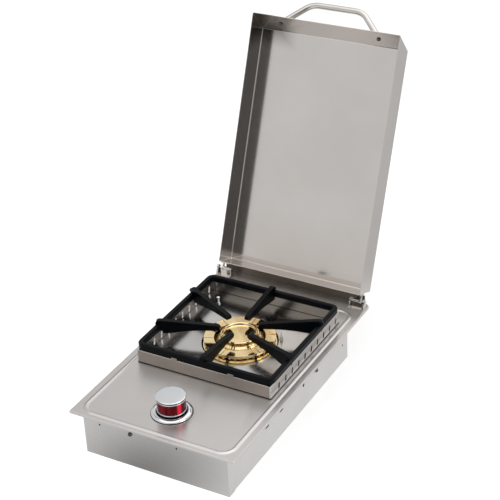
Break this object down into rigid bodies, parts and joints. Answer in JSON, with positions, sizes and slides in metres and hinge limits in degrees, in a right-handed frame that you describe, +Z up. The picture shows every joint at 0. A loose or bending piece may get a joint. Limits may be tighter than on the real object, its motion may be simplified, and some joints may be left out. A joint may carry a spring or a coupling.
{
  "type": "built in side burner",
  "caption": "Drop-in gas side burner: flanged steel box with a hinged lid, brass burner under a cast iron grate and a lit control knob.",
  "frame": {"origin": "centre of the underside of the box", "axes": "+X to the right seen from the control knob, +Y from the knob to the hinges, +Z up"},
  "size_m": [0.33, 0.7512, 0.5985],
  "materials": {
    "brushed_sheet": "satin",
    "box_sheet": "satin",
    "polished_steel": "polished",
    "burner_brass": "polished",
    "cast_iron": "satin enamel",
    "cast_aluminium": "as cast",
    "valve_brass": "machined",
    "red_light": "translucent gloss",
    "black_plastic": "matte",
    "electrode_ceramic": "glazed",
    "lead_rubber": "matte"
  },
  "bodies": {
    "base": {"deck": "brushed_sheet", "front_panel": "box_sheet", "right_side_panel": "box_sheet", "left_side_panel": "box_sheet", "back_panel": "box_sheet", "bottom_panel": "box_sheet", "front_panel_screw": "polished_steel", "module_screw": "polished_steel", "frame_front_wall": "brushed_sheet", "frame_back_wall": "brushed_sheet", "frame_right_wall": "brushed_sheet", "frame_left_wall": "brushed_sheet", "drip_pan": "polished_steel", "pan_stud": "polished_steel", "burner_bracket": "box_sheet", "burner_ring": "burner_brass", "burner_crown": "burner_brass", "burner_cap": "burner_brass", "burner_base": "cast_aluminium", "venturi_tube": "box_sheet", "air_shutter": "box_sheet", "grate": "cast_iron", "igniter_bracket": "box_sheet", "igniter_electrode": "electrode_ceramic", "knob_bezel": "polished_steel", "light_ring": "black_plastic", "return_spring": "polished_steel", "valve_body": "valve_brass", "valve_bracket": "box_sheet", "gas_orifice": "valve_brass", "manifold_pipe": "box_sheet", "gas_inlet": "valve_brass", "spark_module": "black_plastic", "igniter_lead": "lead_rubber", "hinge_bracket_right": "polished_steel", "hinge_pin_right": "polished_steel", "hinge_bracket_left": "polished_steel", "hinge_pin_left": "polished_steel"},
    "lid": {"lid_shell": "brushed_sheet", "lid_handle": "polished_steel", "handle_screw_left": "polished_steel", "handle_screw_right": "polished_steel", "hinge_leaf_right": "polished_steel", "hinge_leaf_left": "polished_steel"},
    "knob_plunger": {"stem_collar": "box_sheet"},
    "knob": {"knob_cap": "polished_steel", "knob_light_band": "red_light", "knob_foot_ring": "polished_steel", "knob_core": "black_plastic", "valve_stem": "valve_brass"}
  },
  "joints": [
    {"name": "lid_hinge", "type": "hinge", "parent": "base", "child": "lid", "pos_m": [0, 0.27285, 0.105], "axis": [1, 0, 0], "range_deg": [0, 111.3]},
    {"name": "knob_push", "type": "slide", "parent": "base", "child": "knob_plunger", "axis": [0, 0, -1], "range_m": [0, 0.003], "stiffness_N_per_m": 1500, "springref_m": -0.006, "deforming": ["return_spring"]},
    {"name": "knob_turn", "type": "hinge", "parent": "knob_plunger", "child": "knob", "pos_m": [0, -0.16965, 0.12], "axis": [0, 0, 1], "range_deg": [0, 210]}
  ]
}
